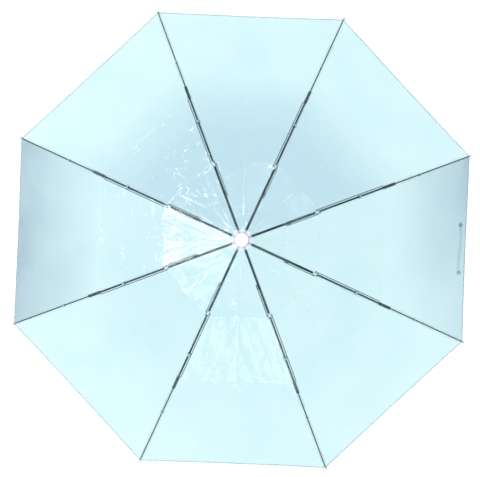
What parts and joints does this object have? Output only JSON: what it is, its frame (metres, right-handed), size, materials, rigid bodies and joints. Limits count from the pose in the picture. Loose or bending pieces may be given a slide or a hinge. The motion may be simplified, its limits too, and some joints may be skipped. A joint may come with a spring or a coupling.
{
  "type": "clear folding umbrella",
  "caption": "Folding umbrella with a clear film canopy, folding steel ribs, a telescoping shaft and a straight grip.",
  "frame": {"origin": "on the shaft axis at the middle of the handle's straight grip", "axes": "+Z along the shaft from the handle to the crown, +X through the middle of the panel that has the closure strap"},
  "size_m": [0.9012, 0.9012, 0.6091],
  "materials": {
    "white_plastic": "smooth moulded white",
    "dark_plastic": "moulded dark grey",
    "bright_wire": "bright drawn wire",
    "tube_steel": "plated tube",
    "spring_steel": "spring strip",
    "black_steel": "gloss black enamel",
    "wire_steel": "black enamelled wire",
    "clear_film": "clear film with a pale cyan tint",
    "clear_strap": "clear welded film strap"
  },
  "bodies": {
    "grip": {"handle": "white_plastic", "lower_tube": "tube_steel"},
    "middle_shaft": {"middle_tube": "tube_steel"},
    "top_shaft": {"upper_tube": "tube_steel", "crown": "dark_plastic", "crown_ring": "bright_wire", "top_cap": "white_plastic", "canopy": "clear_film", "closure_strap": "clear_strap"},
    "runner": {"runner": "white_plastic", "runner_ring": "bright_wire"},
    "runner_catch": {"runner_catch": "spring_steel"},
    "top_rib_1": {"top_rib_1": "black_steel"},
    "stretcher_1": {"stretcher_1": "black_steel"},
    "middle_rib_1": {"middle_rib_1": "black_steel"},
    "control_wire_1": {"control_wire_1": "wire_steel"},
    "drive_link_1": {"drive_link_1": "wire_steel"},
    "outer_rib_1": {"outer_rib_1": "black_steel"},
    "top_rib_2": {"top_rib_2": "black_steel"},
    "stretcher_2": {"stretcher_2": "black_steel"},
    "middle_rib_2": {"middle_rib_2": "black_steel"},
    "control_wire_2": {"control_wire_2": "wire_steel"},
    "drive_link_2": {"drive_link_2": "wire_steel"},
    "outer_rib_2": {"outer_rib_2": "black_steel"},
    "top_rib_3": {"top_rib_3": "black_steel"},
    "stretcher_3": {"stretcher_3": "black_steel"},
    "middle_rib_3": {"middle_rib_3": "black_steel"},
    "control_wire_3": {"control_wire_3": "wire_steel"},
    "drive_link_3": {"drive_link_3": "wire_steel"},
    "outer_rib_3": {"outer_rib_3": "black_steel"},
    "top_rib_4": {"top_rib_4": "black_steel"},
    "stretcher_4": {"stretcher_4": "black_steel"},
    "middle_rib_4": {"middle_rib_4": "black_steel"},
    "control_wire_4": {"control_wire_4": "wire_steel"},
    "drive_link_4": {"drive_link_4": "wire_steel"},
    "outer_rib_4": {"outer_rib_4": "black_steel"},
    "top_rib_5": {"top_rib_5": "black_steel"},
    "stretcher_5": {"stretcher_5": "black_steel"},
    "middle_rib_5": {"middle_rib_5": "black_steel"},
    "control_wire_5": {"control_wire_5": "wire_steel"},
    "drive_link_5": {"drive_link_5": "wire_steel"},
    "outer_rib_5": {"outer_rib_5": "black_steel"},
    "top_rib_6": {"top_rib_6": "black_steel"},
    "stretcher_6": {"stretcher_6": "black_steel"},
    "middle_rib_6": {"middle_rib_6": "black_steel"},
    "control_wire_6": {"control_wire_6": "wire_steel"},
    "drive_link_6": {"drive_link_6": "wire_steel"},
    "outer_rib_6": {"outer_rib_6": "black_steel"},
    "top_rib_7": {"top_rib_7": "black_steel"},
    "stretcher_7": {"stretcher_7": "black_steel"},
    "middle_rib_7": {"middle_rib_7": "black_steel"},
    "control_wire_7": {"control_wire_7": "wire_steel"},
    "drive_link_7": {"drive_link_7": "wire_steel"},
    "outer_rib_7": {"outer_rib_7": "black_steel"},
    "top_rib_8": {"top_rib_8": "black_steel"},
    "stretcher_8": {"stretcher_8": "black_steel"},
    "middle_rib_8": {"middle_rib_8": "black_steel"},
    "control_wire_8": {"control_wire_8": "wire_steel"},
    "drive_link_8": {"drive_link_8": "wire_steel"},
    "outer_rib_8": {"outer_rib_8": "black_steel"}
  },
  "joints": [
    {"name": "middle_slide", "type": "slide", "parent": "grip", "child": "middle_shaft", "axis": [0, 0, 1], "range_m": [-0.13, 0]},
    {"name": "upper_slide", "type": "slide", "parent": "middle_shaft", "child": "top_shaft", "axis": [0, 0, 1], "range_m": [-0.13, 0]},
    {"name": "runner_slide", "type": "slide", "parent": "top_shaft", "child": "runner", "axis": [0, 0, 1], "range_m": [-0.1094, 0], "deforming": ["canopy", "closure_strap"]},
    {"name": "catch_press", "type": "hinge", "parent": "top_shaft", "child": "runner_catch", "pos_m": [0.00525, 0, 0.404], "axis": [0, 1, 0], "range_deg": [-6.5, 0], "stiffness_Nm_per_rad": 0.3},
    {"name": "top_rib_fold_1", "type": "hinge", "parent": "top_shaft", "child": "top_rib_1", "pos_m": [0.01016, 0.00421, 0.551], "axis": [-0.3827, 0.9239, 0], "range_deg": [0, 74.02]},
    {"name": "stretcher_fold_1", "type": "hinge", "parent": "top_rib_1", "child": "stretcher_1", "pos_m": [0.08659, 0.03587, 0.53137], "axis": [-0.3827, 0.9239, 0], "range_deg": [-127.96, 0]},
    {"name": "middle_rib_fold_1", "type": "hinge", "parent": "top_rib_1", "child": "middle_rib_1", "pos_m": [0.1412, 0.05849, 0.52085], "axis": [-0.3827, 0.9239, 0], "range_deg": [-182.02, 0]},
    {"name": "control_wire_fold_1", "type": "hinge", "parent": "top_rib_1", "child": "control_wire_1", "pos_m": [0.1369, 0.05671, 0.52061], "axis": [-0.3827, 0.9239, 0], "range_deg": [-182.02, 0]},
    {"name": "drive_link_fold_1", "type": "hinge", "parent": "middle_rib_1", "child": "drive_link_1", "pos_m": [0.13578, 0.05624, 0.5221], "axis": [-0.3827, 0.9239, 0], "range_deg": [0, 182.02]},
    {"name": "outer_rib_fold_1", "type": "hinge", "parent": "middle_rib_1", "child": "outer_rib_1", "pos_m": [0.26485, 0.10971, 0.46505], "axis": [-0.3827, 0.9239, 0], "range_deg": [0, 160.52]},
    {"name": "top_rib_fold_2", "type": "hinge", "parent": "top_shaft", "child": "top_rib_2", "pos_m": [0.00421, 0.01016, 0.551], "axis": [-0.9239, 0.3827, 0], "range_deg": [0, 74.02]},
    {"name": "stretcher_fold_2", "type": "hinge", "parent": "top_rib_2", "child": "stretcher_2", "pos_m": [0.03587, 0.08659, 0.53137], "axis": [-0.9239, 0.3827, 0], "range_deg": [-127.96, 0]},
    {"name": "middle_rib_fold_2", "type": "hinge", "parent": "top_rib_2", "child": "middle_rib_2", "pos_m": [0.05849, 0.1412, 0.52085], "axis": [-0.9239, 0.3827, 0], "range_deg": [-182.02, 0]},
    {"name": "control_wire_fold_2", "type": "hinge", "parent": "top_rib_2", "child": "control_wire_2", "pos_m": [0.05671, 0.1369, 0.52061], "axis": [-0.9239, 0.3827, 0], "range_deg": [-182.02, 0]},
    {"name": "drive_link_fold_2", "type": "hinge", "parent": "middle_rib_2", "child": "drive_link_2", "pos_m": [0.05624, 0.13578, 0.5221], "axis": [-0.9239, 0.3827, 0], "range_deg": [0, 182.02]},
    {"name": "outer_rib_fold_2", "type": "hinge", "parent": "middle_rib_2", "child": "outer_rib_2", "pos_m": [0.10971, 0.26485, 0.46505], "axis": [-0.9239, 0.3827, 0], "range_deg": [0, 160.52]},
    {"name": "top_rib_fold_3", "type": "hinge", "parent": "top_shaft", "child": "top_rib_3", "pos_m": [-0.00421, 0.01016, 0.551], "axis": [-0.9239, -0.3827, 0], "range_deg": [0, 74.02]},
    {"name": "stretcher_fold_3", "type": "hinge", "parent": "top_rib_3", "child": "stretcher_3", "pos_m": [-0.03587, 0.08659, 0.53137], "axis": [-0.9239, -0.3827, 0], "range_deg": [-127.96, 0]},
    {"name": "middle_rib_fold_3", "type": "hinge", "parent": "top_rib_3", "child": "middle_rib_3", "pos_m": [-0.05849, 0.1412, 0.52085], "axis": [-0.9239, -0.3827, 0], "range_deg": [-182.02, 0]},
    {"name": "control_wire_fold_3", "type": "hinge", "parent": "top_rib_3", "child": "control_wire_3", "pos_m": [-0.05671, 0.1369, 0.52061], "axis": [-0.9239, -0.3827, 0], "range_deg": [-182.02, 0]},
    {"name": "drive_link_fold_3", "type": "hinge", "parent": "middle_rib_3", "child": "drive_link_3", "pos_m": [-0.05624, 0.13578, 0.5221], "axis": [-0.9239, -0.3827, 0], "range_deg": [0, 182.02]},
    {"name": "outer_rib_fold_3", "type": "hinge", "parent": "middle_rib_3", "child": "outer_rib_3", "pos_m": [-0.10971, 0.26485, 0.46505], "axis": [-0.9239, -0.3827, 0], "range_deg": [0, 160.52]},
    {"name": "top_rib_fold_4", "type": "hinge", "parent": "top_shaft", "child": "top_rib_4", "pos_m": [-0.01016, 0.00421, 0.551], "axis": [-0.3827, -0.9239, 0], "range_deg": [0, 74.02]},
    {"name": "stretcher_fold_4", "type": "hinge", "parent": "top_rib_4", "child": "stretcher_4", "pos_m": [-0.08659, 0.03587, 0.53137], "axis": [-0.3827, -0.9239, 0], "range_deg": [-127.96, 0]},
    {"name": "middle_rib_fold_4", "type": "hinge", "parent": "top_rib_4", "child": "middle_rib_4", "pos_m": [-0.1412, 0.05849, 0.52085], "axis": [-0.3827, -0.9239, 0], "range_deg": [-182.02, 0]},
    {"name": "control_wire_fold_4", "type": "hinge", "parent": "top_rib_4", "child": "control_wire_4", "pos_m": [-0.1369, 0.05671, 0.52061], "axis": [-0.3827, -0.9239, 0], "range_deg": [-182.02, 0]},
    {"name": "drive_link_fold_4", "type": "hinge", "parent": "middle_rib_4", "child": "drive_link_4", "pos_m": [-0.13578, 0.05624, 0.5221], "axis": [-0.3827, -0.9239, 0], "range_deg": [0, 182.02]},
    {"name": "outer_rib_fold_4", "type": "hinge", "parent": "middle_rib_4", "child": "outer_rib_4", "pos_m": [-0.26485, 0.10971, 0.46505], "axis": [-0.3827, -0.9239, 0], "range_deg": [0, 160.52]},
    {"name": "top_rib_fold_5", "type": "hinge", "parent": "top_shaft", "child": "top_rib_5", "pos_m": [-0.01016, -0.00421, 0.551], "axis": [0.3827, -0.9239, 0], "range_deg": [0, 74.02]},
    {"name": "stretcher_fold_5", "type": "hinge", "parent": "top_rib_5", "child": "stretcher_5", "pos_m": [-0.08659, -0.03587, 0.53137], "axis": [0.3827, -0.9239, 0], "range_deg": [-127.96, 0]},
    {"name": "middle_rib_fold_5", "type": "hinge", "parent": "top_rib_5", "child": "middle_rib_5", "pos_m": [-0.1412, -0.05849, 0.52085], "axis": [0.3827, -0.9239, 0], "range_deg": [-182.02, 0]},
    {"name": "control_wire_fold_5", "type": "hinge", "parent": "top_rib_5", "child": "control_wire_5", "pos_m": [-0.1369, -0.05671, 0.52061], "axis": [0.3827, -0.9239, 0], "range_deg": [-182.02, 0]},
    {"name": "drive_link_fold_5", "type": "hinge", "parent": "middle_rib_5", "child": "drive_link_5", "pos_m": [-0.13578, -0.05624, 0.5221], "axis": [0.3827, -0.9239, 0], "range_deg": [0, 182.02]},
    {"name": "outer_rib_fold_5", "type": "hinge", "parent": "middle_rib_5", "child": "outer_rib_5", "pos_m": [-0.26485, -0.10971, 0.46505], "axis": [0.3827, -0.9239, 0], "range_deg": [0, 160.52]},
    {"name": "top_rib_fold_6", "type": "hinge", "parent": "top_shaft", "child": "top_rib_6", "pos_m": [-0.00421, -0.01016, 0.551], "axis": [0.9239, -0.3827, 0], "range_deg": [0, 74.02]},
    {"name": "stretcher_fold_6", "type": "hinge", "parent": "top_rib_6", "child": "stretcher_6", "pos_m": [-0.03587, -0.08659, 0.53137], "axis": [0.9239, -0.3827, 0], "range_deg": [-127.96, 0]},
    {"name": "middle_rib_fold_6", "type": "hinge", "parent": "top_rib_6", "child": "middle_rib_6", "pos_m": [-0.05849, -0.1412, 0.52085], "axis": [0.9239, -0.3827, 0], "range_deg": [-182.02, 0]},
    {"name": "control_wire_fold_6", "type": "hinge", "parent": "top_rib_6", "child": "control_wire_6", "pos_m": [-0.05671, -0.1369, 0.52061], "axis": [0.9239, -0.3827, 0], "range_deg": [-182.02, 0]},
    {"name": "drive_link_fold_6", "type": "hinge", "parent": "middle_rib_6", "child": "drive_link_6", "pos_m": [-0.05624, -0.13578, 0.5221], "axis": [0.9239, -0.3827, 0], "range_deg": [0, 182.02]},
    {"name": "outer_rib_fold_6", "type": "hinge", "parent": "middle_rib_6", "child": "outer_rib_6", "pos_m": [-0.10971, -0.26485, 0.46505], "axis": [0.9239, -0.3827, 0], "range_deg": [0, 160.52]},
    {"name": "top_rib_fold_7", "type": "hinge", "parent": "top_shaft", "child": "top_rib_7", "pos_m": [0.00421, -0.01016, 0.551], "axis": [0.9239, 0.3827, 0], "range_deg": [0, 74.02]},
    {"name": "stretcher_fold_7", "type": "hinge", "parent": "top_rib_7", "child": "stretcher_7", "pos_m": [0.03587, -0.08659, 0.53137], "axis": [0.9239, 0.3827, 0], "range_deg": [-127.96, 0]},
    {"name": "middle_rib_fold_7", "type": "hinge", "parent": "top_rib_7", "child": "middle_rib_7", "pos_m": [0.05849, -0.1412, 0.52085], "axis": [0.9239, 0.3827, 0], "range_deg": [-182.02, 0]},
    {"name": "control_wire_fold_7", "type": "hinge", "parent": "top_rib_7", "child": "control_wire_7", "pos_m": [0.05671, -0.1369, 0.52061], "axis": [0.9239, 0.3827, 0], "range_deg": [-182.02, 0]},
    {"name": "drive_link_fold_7", "type": "hinge", "parent": "middle_rib_7", "child": "drive_link_7", "pos_m": [0.05624, -0.13578, 0.5221], "axis": [0.9239, 0.3827, 0], "range_deg": [0, 182.02]},
    {"name": "outer_rib_fold_7", "type": "hinge", "parent": "middle_rib_7", "child": "outer_rib_7", "pos_m": [0.10971, -0.26485, 0.46505], "axis": [0.9239, 0.3827, 0], "range_deg": [0, 160.52]},
    {"name": "top_rib_fold_8", "type": "hinge", "parent": "top_shaft", "child": "top_rib_8", "pos_m": [0.01016, -0.00421, 0.551], "axis": [0.3827, 0.9239, 0], "range_deg": [0, 74.02]},
    {"name": "stretcher_fold_8", "type": "hinge", "parent": "top_rib_8", "child": "stretcher_8", "pos_m": [0.08659, -0.03587, 0.53137], "axis": [0.3827, 0.9239, 0], "range_deg": [-127.96, 0]},
    {"name": "middle_rib_fold_8", "type": "hinge", "parent": "top_rib_8", "child": "middle_rib_8", "pos_m": [0.1412, -0.05849, 0.52085], "axis": [0.3827, 0.9239, 0], "range_deg": [-182.02, 0]},
    {"name": "control_wire_fold_8", "type": "hinge", "parent": "top_rib_8", "child": "control_wire_8", "pos_m": [0.1369, -0.05671, 0.52061], "axis": [0.3827, 0.9239, 0], "range_deg": [-182.02, 0]},
    {"name": "drive_link_fold_8", "type": "hinge", "parent": "middle_rib_8", "child": "drive_link_8", "pos_m": [0.13578, -0.05624, 0.5221], "axis": [0.3827, 0.9239, 0], "range_deg": [0, 182.02]},
    {"name": "outer_rib_fold_8", "type": "hinge", "parent": "middle_rib_8", "child": "outer_rib_8", "pos_m": [0.26485, -0.10971, 0.46505], "axis": [0.3827, 0.9239, 0], "range_deg": [0, 160.52]}
  ],
  "couplings": [
    {"joint": "top_rib_fold_1", "follows": "runner_slide", "rad_per_m": -11.806},
    {"joint": "stretcher_fold_1", "follows": "runner_slide", "rad_per_m": 20.411},
    {"joint": "middle_rib_fold_1", "follows": "runner_slide", "rad_per_m": 29.036},
    {"joint": "control_wire_fold_1", "follows": "runner_slide", "rad_per_m": 29.036},
    {"joint": "drive_link_fold_1", "follows": "runner_slide", "rad_per_m": -29.036},
    {"joint": "outer_rib_fold_1", "follows": "runner_slide", "rad_per_m": -25.606},
    {"joint": "top_rib_fold_2", "follows": "runner_slide", "rad_per_m": -11.806},
    {"joint": "stretcher_fold_2", "follows": "runner_slide", "rad_per_m": 20.411},
    {"joint": "middle_rib_fold_2", "follows": "runner_slide", "rad_per_m": 29.036},
    {"joint": "control_wire_fold_2", "follows": "runner_slide", "rad_per_m": 29.036},
    {"joint": "drive_link_fold_2", "follows": "runner_slide", "rad_per_m": -29.036},
    {"joint": "outer_rib_fold_2", "follows": "runner_slide", "rad_per_m": -25.606},
    {"joint": "top_rib_fold_3", "follows": "runner_slide", "rad_per_m": -11.806},
    {"joint": "stretcher_fold_3", "follows": "runner_slide", "rad_per_m": 20.411},
    {"joint": "middle_rib_fold_3", "follows": "runner_slide", "rad_per_m": 29.036},
    {"joint": "control_wire_fold_3", "follows": "runner_slide", "rad_per_m": 29.036},
    {"joint": "drive_link_fold_3", "follows": "runner_slide", "rad_per_m": -29.036},
    {"joint": "outer_rib_fold_3", "follows": "runner_slide", "rad_per_m": -25.606},
    {"joint": "top_rib_fold_4", "follows": "runner_slide", "rad_per_m": -11.806},
    {"joint": "stretcher_fold_4", "follows": "runner_slide", "rad_per_m": 20.411},
    {"joint": "middle_rib_fold_4", "follows": "runner_slide", "rad_per_m": 29.036},
    {"joint": "control_wire_fold_4", "follows": "runner_slide", "rad_per_m": 29.036},
    {"joint": "drive_link_fold_4", "follows": "runner_slide", "rad_per_m": -29.036},
    {"joint": "outer_rib_fold_4", "follows": "runner_slide", "rad_per_m": -25.606},
    {"joint": "top_rib_fold_5", "follows": "runner_slide", "rad_per_m": -11.806},
    {"joint": "stretcher_fold_5", "follows": "runner_slide", "rad_per_m": 20.411},
    {"joint": "middle_rib_fold_5", "follows": "runner_slide", "rad_per_m": 29.036},
    {"joint": "control_wire_fold_5", "follows": "runner_slide", "rad_per_m": 29.036},
    {"joint": "drive_link_fold_5", "follows": "runner_slide", "rad_per_m": -29.036},
    {"joint": "outer_rib_fold_5", "follows": "runner_slide", "rad_per_m": -25.606},
    {"joint": "top_rib_fold_6", "follows": "runner_slide", "rad_per_m": -11.806},
    {"joint": "stretcher_fold_6", "follows": "runner_slide", "rad_per_m": 20.411},
    {"joint": "middle_rib_fold_6", "follows": "runner_slide", "rad_per_m": 29.036},
    {"joint": "control_wire_fold_6", "follows": "runner_slide", "rad_per_m": 29.036},
    {"joint": "drive_link_fold_6", "follows": "runner_slide", "rad_per_m": -29.036},
    {"joint": "outer_rib_fold_6", "follows": "runner_slide", "rad_per_m": -25.606},
    {"joint": "top_rib_fold_7", "follows": "runner_slide", "rad_per_m": -11.806},
    {"joint": "stretcher_fold_7", "follows": "runner_slide", "rad_per_m": 20.411},
    {"joint": "middle_rib_fold_7", "follows": "runner_slide", "rad_per_m": 29.036},
    {"joint": "control_wire_fold_7", "follows": "runner_slide", "rad_per_m": 29.036},
    {"joint": "drive_link_fold_7", "follows": "runner_slide", "rad_per_m": -29.036},
    {"joint": "outer_rib_fold_7", "follows": "runner_slide", "rad_per_m": -25.606},
    {"joint": "top_rib_fold_8", "follows": "runner_slide", "rad_per_m": -11.806},
    {"joint": "stretcher_fold_8", "follows": "runner_slide", "rad_per_m": 20.411},
    {"joint": "middle_rib_fold_8", "follows": "runner_slide", "rad_per_m": 29.036},
    {"joint": "control_wire_fold_8", "follows": "runner_slide", "rad_per_m": 29.036},
    {"joint": "drive_link_fold_8", "follows": "runner_slide", "rad_per_m": -29.036},
    {"joint": "outer_rib_fold_8", "follows": "runner_slide", "rad_per_m": -25.606}
  ]
}
